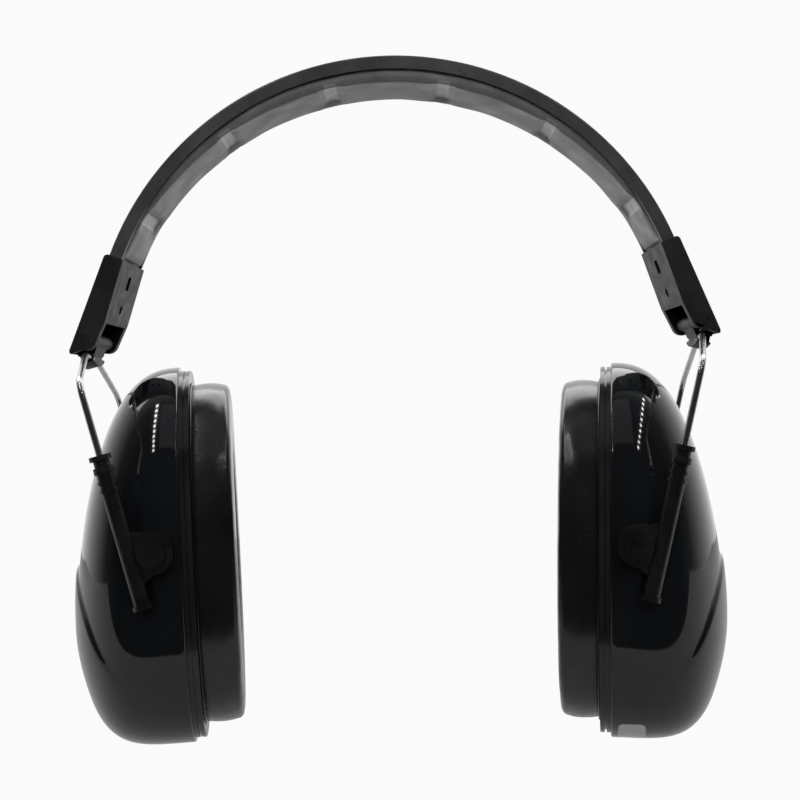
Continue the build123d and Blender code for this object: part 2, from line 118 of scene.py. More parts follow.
class Look:
    """A procedural material: a Principled shader with object-space noise.

    The noise drives colour, roughness and bump.
    """

    def __init__(self, name, **sockets):
        self.material = bpy.data.materials.new(name)
        self.material.use_nodes = True
        self.tree = self.material.node_tree
        self.tree.nodes.clear()
        output = self.node("ShaderNodeOutputMaterial")
        self.shader = self.node("ShaderNodeBsdfPrincipled")
        self.link(self.shader.outputs[0], output.inputs[0])
        self.coordinates = self.node("ShaderNodeTexCoord").outputs["Object"]
        self.normal = None
        for socket, value in sockets.items():
            self.shader.inputs[socket.replace("_", " ")].default_value = value

    def node(self, kind, **settings):
        made = self.tree.nodes.new(kind)
        for key, value in settings.items():
            setattr(made, key, value)
        return made

    def link(self, start, end):
        self.tree.links.new(start, end)

    def stretched(self, scale):
        mapping = self.node("ShaderNodeMapping")
        self.link(self.coordinates, mapping.inputs["Vector"])
        mapping.inputs["Scale"].default_value = scale
        return mapping.outputs[0]

    def noise(self, per_metre, detail=3.0, roughness=0.5, coordinates=None):
        texture = self.node("ShaderNodeTexNoise")
        texture.inputs["Scale"].default_value = per_metre
        texture.inputs["Detail"].default_value = detail
        texture.inputs["Roughness"].default_value = roughness
        self.link(coordinates or self.coordinates, texture.inputs["Vector"])
        return texture.outputs[0]

    def cells(self, per_metre):
        texture = self.node("ShaderNodeTexVoronoi")
        texture.inputs["Scale"].default_value = per_metre
        self.link(self.coordinates, texture.inputs["Vector"])
        return texture.outputs["Distance"]

    def ranged(self, value, low, high, to_low, to_high):
        mapped = self.node("ShaderNodeMapRange")
        set_range(mapped, low, high, to_low, to_high)
        self.link(value, mapped.inputs["Value"])
        return mapped.outputs[0]

    def colour(self, value, dark, light, low=0.35, high=0.65):
        ramp = self.node("ShaderNodeValToRGB")
        ramp.color_ramp.elements[0].position = low
        ramp.color_ramp.elements[1].position = high
        ramp.color_ramp.elements[0].color = (*dark, 1)
        ramp.color_ramp.elements[1].color = (*light, 1)
        self.link(value, ramp.inputs[0])
        self.link(ramp.outputs[0], self.shader.inputs["Base Color"])
        return self

    def rough(self, value, smooth, dull, low=0.3, high=0.7):
        self.link(self.ranged(value, low, high, smooth, dull), self.shader.inputs["Roughness"])
        return self

    def bump(self, value, depth_mm):
        bump = self.node("ShaderNodeBump")
        bump.inputs["Distance"].default_value = mm(depth_mm)
        self.link(value, bump.inputs["Height"])
        if self.normal:
            self.link(self.normal, bump.inputs["Normal"])
        self.normal = bump.outputs[0]
        self.link(self.normal, self.shader.inputs["Normal"])
        return self


PATCH_MIDDLE = (-1.7, -20.0, -54.8)   # mm in the right cup's frame, low on its front
PATCH_HALF = (3.8, 6.0, 8.0)
PATCH_GREY = (0.36, 0.36, 0.36, 1.0)
PATCH_POWER = 6.0             # how square its corners are
PATCH_EDGE = (0.8, 1.25)      # over which it fades out


def print_patch(look, placing):
    """A plain pale printed patch on a look: a rounded box in a cup's own axes, with soft edges."""
    away = look.node("ShaderNodeVectorMath", operation="SUBTRACT")
    look.link(look.coordinates, away.inputs[0])
    away.inputs[1].default_value = placing @ Vector(mm(value) for value in PATCH_MIDDLE)
    total = None
    for axis, half in enumerate(PATCH_HALF):
        along = look.node("ShaderNodeVectorMath", operation="DOT_PRODUCT")
        look.link(away.outputs[0], along.inputs[0])
        along.inputs[1].default_value = placing.to_3x3().col[axis] / mm(half)
        size = look.node("ShaderNodeMath", operation="ABSOLUTE")
        look.link(along.outputs["Value"], size.inputs[0])
        power = look.node("ShaderNodeMath", operation="POWER")
        look.link(size.outputs[0], power.inputs[0])
        power.inputs[1].default_value = PATCH_POWER
        if total:
            both = look.node("ShaderNodeMath", operation="ADD")
            look.link(total, both.inputs[0])
            look.link(power.outputs[0], both.inputs[1])
            total = both.outputs[0]
        else:
            total = power.outputs[0]
    base = look.shader.inputs["Base Color"]
    mix = look.node("ShaderNodeMix", data_type="RGBA")
    look.link(look.ranged(total, *PATCH_EDGE, 1.0, 0.0), mix.inputs["Factor"])
    look.link(base.links[0].from_socket, mix.inputs[6])
    mix.inputs[7].default_value = PATCH_GREY
    look.link(mix.outputs[2], base)


def shell_look(name):
    shell = Look(name, Coat_Weight=0.15, Coat_Roughness=0.03)
    shell.colour(shell.noise(30), (0.0022, 0.0027, 0.0034), (0.0040, 0.0048, 0.0058))
    shell.rough(shell.noise(55, 6, 0.65), 0.045, 0.085)
    shell.bump(shell.noise(220, 2), 0.006)
    return shell


def make_looks():
    """One look for each of the record's material slots, and one for the lining's welded bars, whose paler colour
    is a painted sheen.
    """
    looks = {"shell_gloss": shell_look("gloss_shell_look")}

    plate = Look("gloss_plate_look")
    plate.colour(plate.noise(40), (0.004, 0.0045, 0.005), (0.008, 0.0085, 0.009))
    plate.rough(plate.noise(70, 5), 0.14, 0.24)
    plate.bump(plate.noise(900, 2), 0.01)
    looks["plate_black"] = plate

    cushion = Look("cushion_vinyl_look", Coat_Weight=0.3, Coat_Roughness=0.14)
    cushion.colour(cushion.noise(60), (0.0025, 0.0028, 0.0030), (0.0055, 0.0058, 0.0062))
    cushion.rough(cushion.noise(160, 5), 0.20, 0.32)
    cushion.bump(cushion.noise(1700, 2, 0.6), 0.008).bump(cushion.noise(120, 4), 0.03)
    looks["cushion_vinyl"] = cushion

    lining = Look("lining_vinyl_look", Coat_Weight=0.2, Coat_Roughness=0.3)
    lining.colour(lining.noise(90, 5), (0.095, 0.097, 0.098), (0.140, 0.142, 0.143))
    lining.rough(lining.noise(150, 4), 0.36, 0.5)
    lining.bump(lining.noise(1900, 2, 0.6), 0.015).bump(lining.noise(140, 4), 0.08)
    looks["lining_vinyl"] = lining

    # welded bars: smoother than the lining, and painted paler as a sheen for the light their flat faces catch
    weld = Look("welded_bar_look", Coat_Weight=0.3, Coat_Roughness=0.2)
    weld.colour(weld.noise(120, 4), (0.17, 0.17, 0.17), (0.23, 0.23, 0.23))
    weld.rough(weld.noise(200, 4), 0.28, 0.42)
    weld.bump(weld.noise(1900, 2, 0.6), 0.01)
    looks["welded_bar"] = weld

    cover = Look("band_cover_look")
    cover.colour(cover.noise(70, 4), (0.022, 0.022, 0.0225), (0.036, 0.036, 0.0365))
    cover.rough(cover.noise(200, 5), 0.26, 0.38)
    cover.bump(cover.noise(2200, 2, 0.6), 0.012).bump(cover.noise(90, 3), 0.05)
    looks["cover_black"] = cover

    block = Look("moulded_block_look")
    block.colour(block.noise(120, 4), (0.0055, 0.0055, 0.0052), (0.0105, 0.0105, 0.010))
    block.rough(block.noise(300, 4), 0.45, 0.6)
    block.bump(block.noise(2600, 2, 0.7), 0.02)
    looks["block_black"] = block

    bracket = Look("moulded_bracket_look")
    bracket.colour(bracket.noise(130, 4), (0.0026, 0.0026, 0.0025), (0.0056, 0.0055, 0.0053))
    bracket.rough(bracket.noise(260, 4), 0.24, 0.36)
    bracket.bump(bracket.noise(1800, 2, 0.7), 0.015)
    looks["bracket_black"] = bracket

    bush = Look("friction_bush_look")
    bush.colour(bush.noise(150, 4), (0.0045, 0.0043, 0.0041), (0.0090, 0.0086, 0.0082))
    bush.rough(bush.noise(240, 4), 0.34, 0.48)
    bush.bump(bush.noise(2000, 2, 0.7), 0.015)
    looks["bush_black"] = bush

    wire = Look("drawn_wire_look", Metallic=1.0)
    wire.colour(wire.noise(200, 3), (0.50, 0.49, 0.47), (0.66, 0.65, 0.63))
    wire.rough(wire.noise(500, 4, 0.6, wire.stretched((6, 6, 0.6))), 0.16, 0.32)
    wire.bump(wire.noise(900, 3, 0.6, wire.stretched((8, 8, 0.4))), 0.01)
    looks["wire_steel"] = wire

    leaf = Look("spring_leaf_look", Metallic=1.0)
    leaf.colour(leaf.noise(120, 4), (0.20, 0.20, 0.21), (0.30, 0.30, 0.31))
    leaf.rough(leaf.noise(400, 4, 0.6, leaf.stretched((1, 8, 1))), 0.25, 0.4)
    leaf.bump(leaf.noise(900, 3, 0.6, leaf.stretched((1, 8, 1))), 0.01)
    looks["spring_steel"] = leaf

    foam = Look("foam_look", Sheen_Weight=0.3, Sheen_Roughness=0.6)
    foam.colour(foam.noise(300, 4), (0.012, 0.012, 0.013), (0.03, 0.03, 0.032))
    foam.rough(foam.noise(100), 0.85, 0.95)
    foam.bump(foam.cells(1100), 0.5)
    looks["foam"] = foam
    return looks


looks = make_looks()


def dress(obj, slot_name):
    obj.data.materials.clear()
    obj.data.materials.append(looks[slot_name].material)


for subpart in record["subparts"]:
    dress(frame["nodes"][subpart["node"]], subpart["material_slot"])


# ---- meshes ---------------------------------------------------------------------------------
def ring_mesh(name, rings, slot_name, placed=Matrix(), close_rows=False, poles=(None, None)):
    """A smooth mesh through closed rings of points in mm. poles close the first and last ring."""
    count = len(rings[0])
    points = [point for ring in rings for point in ring]
    faces = []
    rows = len(rings) if close_rows else len(rings) - 1
    for row in range(rows):
        here, there = row * count, (row + 1) % len(rings) * count
        for step in range(count):
            after = (step + 1) % count
            faces.append((here + step, here + after, there + after, there + step))
    for pole, start, flip in ((poles[0], 0, True), (poles[1], (len(rings) - 1) * count, False)):
        if pole is not None:
            points.append(pole)
            for step in range(count):
                face = (start + step, start + (step + 1) % count, len(points) - 1)
                faces.append(face[::-1] if flip else face)
    mesh = bpy.data.meshes.new(name)
    mesh.from_pydata([Vector(point) * MM for point in points], [], faces)
    mesh.transform(placed)
    mesh.update()
    mesh.polygons.foreach_set("use_smooth", [True] * len(mesh.polygons))
    obj = bpy.data.objects.new(name, mesh)
    bpy.context.scene.collection.objects.link(obj)
    dress(obj, slot_name)
    return obj


def face_outwards(obj):
    edit = bmesh.new()
    edit.from_mesh(obj.data)
    bmesh.ops.recalc_face_normals(edit, faces=edit.faces)
    edit.to_mesh(obj.data)
    edit.free()


def joined(objects, name):
    bpy.ops.object.select_all(action="DESELECT")
    for obj in objects:
        obj.select_set(True)
    bpy.context.view_layer.objects.active = objects[0]
    bpy.ops.object.join()
    objects[0].name = name
    return objects[0]


def cup_placing(side):
    """The cup's frame as a matrix, from its tilt joint and its cushion mount."""
    tilt = joints[f"{side}_tilt"]
    x = -Vector(mounts[f"cushion_face_{side}"]["axis"])
    y = Vector(tilt["axis"]) * SIDES[side]
    placing = Matrix((x, y, x.cross(y))).transposed().to_4x4()
    placing.translation = Vector(tilt["pos_m"])
    return placing


def signed_power(value, power):
    return abs(value) ** power * (1 if value >= 0 else -1)


def oval_point(turn, half_width, half_height, middle):
    power = 2 / OVAL_POWER
    return (half_width * signed_power(cos(turn), power),
            middle + half_height * signed_power(sin(turn), power))


def cup_section(depth, inset=0.0):
    """Half width, half height and middle of the cup's outline at a depth from its rim."""
    reach = min(1.0, depth / (CUP_DEPTH - inset))

    def left(powers):
        return (1 - reach ** powers[0]) ** (1 / powers[1])

    top = CUP_LOW_POINT + (CUP_HEIGHT / 2 - CUP_LOW_POINT - inset) * left(TOP_POWERS)
    bottom = CUP_LOW_POINT - (CUP_HEIGHT / 2 + CUP_LOW_POINT - inset) * left(BOTTOM_POWERS)
    half_width = (CUP_WIDTH / 2 - inset) * left(SIDE_POWERS)
    return half_width, (top - bottom) / 2, (top + bottom) / 2


def row_depth(row, rows, deepest):
    """Depths of the shell's rings, spaced so that the rings are even along its section."""
    swing = pi / 2 * row / rows
    return deepest * (1 - cos(swing) ** SIDE_POWERS[1]) ** (1 / SIDE_POWERS[0])


ARCH_R = 36.0
ARCH_TOP = -1.0               # from the cup's middle
ARCH_STEP = 0.9
ARCH_EDGE = 1.6
ARCH_FADE = (-40, -20)        # heights over which it fades out
ARCH_DEPTHS = (14, 22)        # depths over which it sets in
SHELL_AROUND = 360
SHELL_ROWS = 170
INNER_ROWS = 16
RIM_ROUND = ((0.0, 0.5), (0.12, 0.15), (0.5, 0.0))   # depth, and how far in from the outline
FIRST_ROW = 1.0               # depth below the rim's rounding


def arch_rise(y, z):
    """The raised disc on the lower half of the outer face, whose rim fades out downwards."""
    inside = ARCH_R - hypot(y, z - ARCH_TOP + ARCH_R)
    return ARCH_STEP * ease(-ARCH_EDGE / 2, ARCH_EDGE / 2, inside) * ease(*ARCH_FADE, z)


def make_shell(side):
    """The cup's shell with its inside and its two bosses."""
    turns = [2 * pi * step / SHELL_AROUND for step in range(SHELL_AROUND)]

    def ring(depth, inset, shrink=0.0):
        half_width, half_height, middle = cup_section(depth, inset)
        points = []
        for turn in turns:
            y, z = oval_point(turn, half_width - shrink, half_height - shrink, middle)
            rise = arch_rise(y, z) * ease(*ARCH_DEPTHS, depth) if inset == 0 else 0
            points.append((depth - RIM_TO_PIVOT + rise, y, z - PIVOT_RISE))
        return points

    outer = [ring(depth, 0.0, shrink) for depth, shrink in RIM_ROUND]
    for row in range(1, SHELL_ROWS):
        depth = row_depth(row, SHELL_ROWS, CUP_DEPTH)
        if depth > FIRST_ROW:
            outer.append(ring(depth, 0.0))
    inner = [ring(0.0, SHELL_WALL)]
    for row in range(1, INNER_ROWS):
        inner.append(ring(row_depth(row, INNER_ROWS, CUP_DEPTH - SHELL_WALL), SHELL_WALL))
    pole = CUP_LOW_POINT - PIVOT_RISE
    outer_pole = CUP_DEPTH - RIM_TO_PIVOT + arch_rise(0, CUP_LOW_POINT)
    shell = ring_mesh(f"gloss_shell_{side}", inner[::-1] + outer, "shell_gloss", cup_placing(side),
                      poles=((CUP_DEPTH - SHELL_WALL - RIM_TO_PIVOT, 0, pole), (outer_pole, 0, pole)))
    bosses = [make_boss(side, sense) for sense in (1, -1)]
    shell = joined([shell, *bosses], f"gloss_shell_{side}")
    face_outwards(shell)
    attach(shell, f"{side}_cup")
    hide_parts(f"cup_shell_{side}")
    return shell


def make_boss(side, sense):
    """Round boss that stands out of the shell and takes the pivot pin."""
    bore = PIN_R + PIN_GAP
    profile = [(bore, BOSS_FROM), (BOSS_R + 1.4, BOSS_FROM), (BOSS_R + 0.6, BOSS_FROM + 2.4),
               (BOSS_R, BOSS_FROM + 4.2), (BOSS_R, BOSS_TO - 0.35), (BOSS_R - 0.1, BOSS_TO - 0.1),
               (BOSS_R - 0.35, BOSS_TO), (bore, BOSS_TO)]
    turns = [2 * pi * step / BOSS_AROUND for step in range(BOSS_AROUND)]
    rings = [[(radius * cos(turn), sense * y, radius * sin(turn)) for turn in turns]
             for radius, y in profile]
    return ring_mesh(f"boss_{side}_{sense}", rings, "shell_gloss", cup_placing(side), close_rows=True)


make_shell("left")
marked_shell = make_shell("right")
marked_look = shell_look("marked_shell_look")
print_patch(marked_look, cup_placing("right"))
marked_shell.data.materials[0] = marked_look.material


# ---- soft pieces ----------------------------------------------------------------------------
CLOTH = {"quality": 6, "mass": 0.02, "air_damping": 2.0, "tension_stiffness": 12.0,
         "compression_stiffness": 12.0, "shear_stiffness": 6.0, "bending_stiffness": 0.6}
CLOTH_FRAMES = 20
CUSHION_PRESSURE = 60.0
CUSHION_CAP = 0.2             # mm that the simulation may move a point
PAD_PRESSURE = 40.0
PAD_CAP = 0.3


def inflate(obj, held, pressure, cap):
    """Swells a padded piece with a cloth simulation. Points in held stay where they are."""
    mesh = obj.data
    start = [vertex.co.copy() for vertex in mesh.vertices]
    group = obj.vertex_groups.new(name="held")
    group.add(held, 1.0, "REPLACE")
    cloth = obj.modifiers.new("filling", "CLOTH")
    settings = cloth.settings
    for setting, value in CLOTH.items():
        setattr(settings, setting, value)
    settings.use_pressure = True
    settings.uniform_pressure_force = pressure
    settings.vertex_group_mass = "held"
    settings.effector_weights.gravity = 0.0
    cloth.point_cache.frame_start, cloth.point_cache.frame_end = 1, CLOTH_FRAMES
    scene = bpy.context.scene
    for frame_number in range(1, CLOTH_FRAMES + 1):
        scene.frame_set(frame_number)
    swollen = obj.evaluated_get(bpy.context.evaluated_depsgraph_get())
    end = [vertex.co.copy() for vertex in swollen.data.vertices]
    obj.modifiers.remove(cloth)
    obj.vertex_groups.clear()
    scene.frame_set(1)
    for vertex, before, after in zip(mesh.vertices, start, end):
        step = after - before
        vertex.co = before + step * (min(1.0, mm(cap) / step.length) if step.length > 0 else 1.0)
    mesh.update()
    moved = [(after - before).length * PER_METRE for before, after in zip(start, end)]
    print(f"{obj.name}: filling moved points by up to {max(moved):.2f} mm,"
          f" {sum(moved) / len(moved):.2f} mm on average")


def subdivide(obj):
    modifier = obj.modifiers.new("smooth", "SUBSURF")
    modifier.levels = modifier.render_levels = 1
    bpy.context.view_layer.objects.active = obj
    bpy.ops.object.modifier_apply(modifier=modifier.name)


def round_corner(centre, radius, start, end, steps):
    """Points along a quarter turn, in a section's own two axes."""
    turns = [start + (end - start) * step / steps for step in range(steps + 1)]
    return [(centre[0] + radius * cos(turn), centre[1] + radius * sin(turn)) for turn in turns]


SEAM_THICKNESS = 0.5          # of the welded flanges at the cushion's base
OUTER_ROUND = 1.9
INNER_ROUND = 3.6
FACE_CROWN = 0.15
CUSHION_BAND = 20.7           # from the outline to the ear opening
CUSHION_AROUND = 200
SIDE_INSET = 0.5              # of the side wall from the outline
SIDE_BULGE = 0.35
SIDE_FOOT = 1.0               # height where the side wall starts
OPENING_INSET = 0.4           # of the inner wall from the ear opening
BASE_EDGE = 0.9               # where the base starts, inwards from the outline
WELD_GAP = 0.02               # between a flange and the plate
HELD_HEIGHT = 0.5             # the simulation doesn't move what is lower


def cushion_profile():
    """The cushion's section: how far in from its outline, and how far from the plate."""
    top = CUSHION_THICKNESS - FACE_CROWN
    wall, inner_edge = top - OUTER_ROUND - SIDE_FOOT, CUSHION_BAND - OPENING_INSET
    profile = [(BASE_EDGE, 0.0), (SIDE_INSET + 0.05, 0.4), (SIDE_INSET, SIDE_FOOT)]
    profile += [(SIDE_INSET - SIDE_BULGE * sin(pi * step / 6), SIDE_FOOT + wall * step / 6)
                for step in range(1, 6)]
    start, stop = SIDE_INSET + OUTER_ROUND, inner_edge - INNER_ROUND
    profile += round_corner((start, top - OUTER_ROUND), OUTER_ROUND, pi, pi / 2, 7)
    profile += [(start + (stop - start) * step / 10, top + FACE_CROWN * sin(pi * step / 10))
                for step in range(1, 10)]
    profile += round_corner((stop, top - INNER_ROUND), INNER_ROUND, pi / 2, 0, 8)
    profile += [(inner_edge, top - INNER_ROUND - (top - INNER_ROUND - 0.3) * step / 4)
                for step in range(1, 4)]
    base = inner_edge - 0.4
    profile += [(base - (base - BASE_EDGE) * step / 9, 0.0) for step in range(9)]
    return profile


def swept_round(profile):
    """Carries a section round the cushion, from its outline to the ear opening."""
    rings = []
    near = -(RIM_TO_PIVOT + PLATE_THICKNESS)
    for inward, height in profile:
        share = inward / CUSHION_BAND
        half_width = CUSHION_HALF[0] + (EAR_HALF[0] - CUSHION_HALF[0]) * share
        half_height = CUSHION_HALF[1] + (EAR_HALF[1] - CUSHION_HALF[1]) * share
        outline = [oval_point(2 * pi * step / CUSHION_AROUND, half_width, half_height, 0.0)
                   for step in range(CUSHION_AROUND)]
        rings.append([(near - height, y, z - PIVOT_RISE) for y, z in outline])
    return rings


def make_cushion(side):
    """The filled cushion with a welded flange round its outside and round the ear opening."""
    placing = cup_placing(side)

    def swept(name, profile):
        return ring_mesh(name, swept_round(profile), "cushion_vinyl", placing, close_rows=True)

    profile = cushion_profile()
    cushion = swept(f"padded_cushion_{side}", profile)
    face_outwards(cushion)
    held = [row * CUSHION_AROUND + step for row, (inward, height) in enumerate(profile)
            if height < HELD_HEIGHT for step in range(CUSHION_AROUND)]
    inflate(cushion, held, CUSHION_PRESSURE, CUSHION_CAP)
    pucker(cushion, placing)
    subdivide(cushion)
    outer = [(-0.35, SEAM_THICKNESS / 2), (-0.2, SEAM_THICKNESS), (0.9, SEAM_THICKNESS),
             (0.9, WELD_GAP), (-0.2, WELD_GAP)]
    inner = [(CUSHION_BAND - 0.9, SEAM_THICKNESS), (CUSHION_BAND - 0.1, SEAM_THICKNESS),
             (CUSHION_BAND, SEAM_THICKNESS / 2), (CUSHION_BAND - 0.1, WELD_GAP),
             (CUSHION_BAND - 0.9, WELD_GAP)]
    flanges = [swept(f"flange_{side}", outer), swept(f"inner_flange_{side}", inner)]
    cushion = joined([cushion, *flanges], f"padded_cushion_{side}")
    face_outwards(cushion)
    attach(cushion, f"{side}_cup")
    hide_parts(f"ear_cushion_{side}", f"cushion_foam_{side}")


def pucker(cushion, placing):
    """Fine gathers at the ear opening and slow unevenness elsewhere."""
    back = placing.inverted()
    cushion.data.update()
    normals = [vertex.normal.copy() for vertex in cushion.data.vertices]
    for vertex, normal in zip(cushion.data.vertices, normals):
        x, y, z = (back @ vertex.co) * PER_METRE
        z += PIVOT_RISE
        plate_gap = -(x + RIM_TO_PIVOT + PLATE_THICKNESS)
        turn = atan2(z / EAR_HALF[1], y / EAR_HALF[0])
        inward = 1 - hypot(y / CUSHION_HALF[0], z / CUSHION_HALF[1])
        near_face = ease(-6, 0, plate_gap - CUSHION_THICKNESS)
        gather = ease(0.30, 0.48, inward) * ease(0.4, 4, abs(plate_gap))
        gathers = 0.05 * sin(turn * 37 + 1.3 * sin(turn * 5)) + 0.03 * sin(turn * 61 + 2.1)
        lumps = 0.035 * sin(turn * 5 + 0.7) * sin(turn * 8 + x * 0.2)
        lumps *= ease(0.2, 1.4, abs(plate_gap)) * (1 - near_face * 0.6)
        vertex.co += normal * mm(gathers * gather + lumps)


for side in SIDES:
    make_cushion(side)


RIBS = (-58.5, -35.1, -11.7, 11.7, 35.1, 58.5)   # the lining's welded bars, degrees from the top
RIB_HALF = 1.05               # half width of a bar, degrees
RIB_FRONT, RIB_REAR = -12.0, 7.0
BAR_DIP = 0.45                # a bar is pressed this deep
PAD_ROWS, PAD_ACROSS = 272, 26
PAD_CORNER = 1.6
PAD_CROWN = 0.35
EDGE_POINTS = 7               # down each edge of the lining's section


def lining_radius(angle):
    """The lining's inner face, measured from the cover's centre."""
    return (LINING_R ** 2 - (LINING_DROP * sin(angle)) ** 2) ** 0.5 - LINING_DROP * cos(angle)


def rib_share(angle_deg):
    """1 on a welded bar, 0 well clear of one."""
    gap = min(abs(angle_deg - rib) for rib in RIBS)
    return 1 - ease(RIB_HALF * 0.9, RIB_HALF * 1.6, gap)


def pillow_share(angle_deg):
    """0 at a bar or an end, 1 half way between two."""
    marks = (-BAND_HALF_ANGLE, *RIBS, BAND_HALF_ANGLE)
    for low, high in zip(marks, marks[1:]):
        if low <= angle_deg <= high:
            return sin(pi * (angle_deg - low) / (high - low))
    return 0.0


def make_pad():
    """The lining: pillows between welded bars, its back and its ends held while it is filled."""
    rings, held = [], []
    for row in range(PAD_ROWS + 1):
        angle_deg = -BAND_HALF_ANGLE + 2 * BAND_HALF_ANGLE * row / PAD_ROWS
        angle = radians(angle_deg)
        rib, pillow = rib_share(angle_deg), pillow_share(angle_deg) ** 0.6
        inner_r = lining_radius(angle)
        depth = PAD_BACK_R - inner_r
        half_width = PAD_HALF_WIDTH - 0.45 + 0.4 * pillow
        corner = min(PAD_CORNER, depth * 0.45)
        section = [(PAD_BACK_R, half_width - 0.4), (PAD_BACK_R - depth * 0.35, half_width - 0.15)]
        section += [(inner_r + corner - corner * sin(turn), half_width - corner + corner * cos(turn))
                    for turn in (0.0, pi / 8, pi / 4, 3 * pi / 8, pi / 2)]
        wide = half_width - corner
        base = row * (2 * EDGE_POINTS + PAD_ACROSS - 1)
        for step in range(1, PAD_ACROSS):
            y = wide - 2 * wide * step / PAD_ACROSS
            on_bar = rib * ease(RIB_FRONT - 1, RIB_FRONT + 0.6, y)
            on_bar *= 1 - ease(RIB_REAR - 0.6, RIB_REAR + 1, y)
            crown = PAD_CROWN * (1 - (y / wide) ** 2) ** 0.5
            if on_bar > 0.5:
                held.append(base + len(section))
            section.append((inner_r + crown + BAR_DIP * on_bar - pillow * crown * (1 - on_bar), y))
        section += [(radius, -y) for radius, y in section[EDGE_POINTS - 1::-1]]
        if row in (0, PAD_ROWS):
            tucked, middle_r = min(0.5, depth * 0.3), inner_r + depth * 0.5
            section = [(radius + tucked if radius < middle_r else radius, y * 0.985)
                       for radius, y in section]
            held += [base + step for step in range(len(section))]
        else:
            held += [base + step for step in (0, 1, len(section) - 2, len(section) - 1)]
        rings.append([(radius * sin(angle), y, BAND_CENTRE_Z + radius * cos(angle))
                      for radius, y in section])
    ends = [tuple(sum(point[axis] for point in ring) / len(ring) for axis in range(3))
            for ring in (rings[0], rings[-1])]
    pad = ring_mesh("quilted_lining", rings, "lining_vinyl", poles=ends)
    face_outwards(pad)
    inflate(pad, held, PAD_PRESSURE, PAD_CAP)
    wrinkle_pad(pad)
    press_bars(pad)
    subdivide(pad)
    face_outwards(pad)
    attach(pad, "headband")
    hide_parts("headband_pad", "headband_foam")


def band_place(point):
    """A point's angle from the top in degrees, and its radius and y in mm."""
    x, y, z = point * PER_METRE
    return degrees(atan2(x, z - BAND_CENTRE_Z)), hypot(x, z - BAND_CENTRE_Z), y


def press_bars(pad):
    """The welded bars are pressed flat, so they are smoother than the pillows; their paler colour is a painted
    sheen, the light their flat faces catch.
    """
    pad.data.materials.append(looks["welded_bar"].material)
    for face in pad.data.polygons:
        angle_deg, radius, y = band_place(face.center)
        inner = radius < lining_radius(radians(angle_deg)) + 1.2
        if inner and rib_share(angle_deg) > 0.5 and RIB_FRONT < y < RIB_REAR:
            face.material_index = 1


def wrinkle_pad(pad):
    """Shallow creases that run out from the welded bars, and slow lumps in the filling."""
    normals = [vertex.normal.copy() for vertex in pad.data.vertices]
    for vertex, normal in zip(pad.data.vertices, normals):
        angle_deg, radius, y = band_place(vertex.co)
        free = ease(0.3, 1.6, COVER_LIP_R + 0.4 - radius) * (1 - rib_share(angle_deg))
        near_rib = 1 - ease(1.5, 6.0, min(abs(angle_deg - rib) for rib in RIBS))
        height = 0.02 * sin(y * 1.1 + 0.4 * sin(angle_deg * 0.7)) * near_rib
        height += 0.07 * sin(angle_deg * 0.45 + 1.0) * sin(y * 0.35 + angle_deg * 0.21)
        vertex.co += normal * mm(height * free)


make_pad()


LINER_AROUND = 160
LINER_NEAR, LINER_FAR = 1.0, 11.0     # depths of its two faces
LINER_SIDE_GAP, LINER_END_GAP = 3.2, 1.2   # to the shell's inside
LINER_UNEVEN = 0.22


def make_liner(side):
    """Open-cell foam slab in the back of the cup, with rounded edges and an uneven face."""
    near, far = LINER_NEAR, LINER_FAR
    turns = [2 * pi * step / LINER_AROUND for step in range(LINER_AROUND)]
    rings = []
    steps = [(near, 8.0), (near, 4.0), (near + 0.15, 1.6), (near + 0.6, 0.6), (near + 1.5, 0.1)]
    steps += [(near + 1.5 + (far - near - 3.0) * step / 6, 0.0) for step in range(1, 7)]
    steps += [(far - 0.5, 0.5), (far, 2.0), (far, 8.0)]
    for depth, shrink in steps:
        half_width, half_height, middle = cup_section(depth, SHELL_WALL)
        ring = []
        for turn in turns:
            y, z = oval_point(turn, half_width - LINER_SIDE_GAP - shrink,
                              half_height - LINER_END_GAP - shrink, middle)
            uneven = LINER_UNEVEN * sin(turn * 9 + depth) * sin(turn * 4 + 1.1)
            ring.append((depth - RIM_TO_PIVOT + (uneven if shrink > 3 else 0),
                         y + uneven * cos(turn), z - PIVOT_RISE + uneven * sin(turn)))
        rings.append(ring)
    half_width, half_height, middle = cup_section(near, SHELL_WALL)
    face_rings = []
    for share in (0.15, 0.35, 0.55, 0.75):
        ring = []
        for step, turn in enumerate(turns):
            y, z = oval_point(turn, (half_width - LINER_SIDE_GAP) * share,
                              (half_height - LINER_END_GAP) * share, middle)
            rise = 0.35 * (share - 0.75) * sin(share * 5 + step * 0.2)
            ring.append((near - RIM_TO_PIVOT + rise, y, z - PIVOT_RISE))
        face_rings.append(ring)
    poles = [(depth - RIM_TO_PIVOT, 0, middle - PIVOT_RISE) for depth in (near, far)]
    liner = ring_mesh(f"foam_slab_{side}", face_rings + rings, "foam", cup_placing(side), poles=poles)
    face_outwards(liner)
    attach(liner, f"{side}_cup")
    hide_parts(f"foam_liner_{side}")


for side in SIDES:
    make_liner(side)


# ---- camera, stage and light ----------------------------------------------------------------
CAMERA_DISTANCE = 372.0       # in front of the headband's middle plane
CAMERA_HEIGHT = -92.2
CAMERA_OFFSET = 0.9
CAMERA_ROLL = -1.85           # degrees
CAMERA_LENS = 56.25
camera_data = bpy.data.cameras.new("camera")
camera_data.lens = CAMERA_LENS
camera_data.sensor_width = 36.0
camera_data.clip_start = 0.01
camera = bpy.data.objects.new("camera", camera_data)
bpy.context.scene.collection.objects.link(camera)
camera_place = (mm(CAMERA_OFFSET), -mm(CAMERA_DISTANCE), mm(CAMERA_HEIGHT))
camera.matrix_world = (Matrix.Translation(camera_place) @ Matrix.Rotation(pi / 2, 4, "X")
                       @ Matrix.Rotation(radians(CAMERA_ROLL), 4, "Z"))
bpy.context.scene.camera = camera

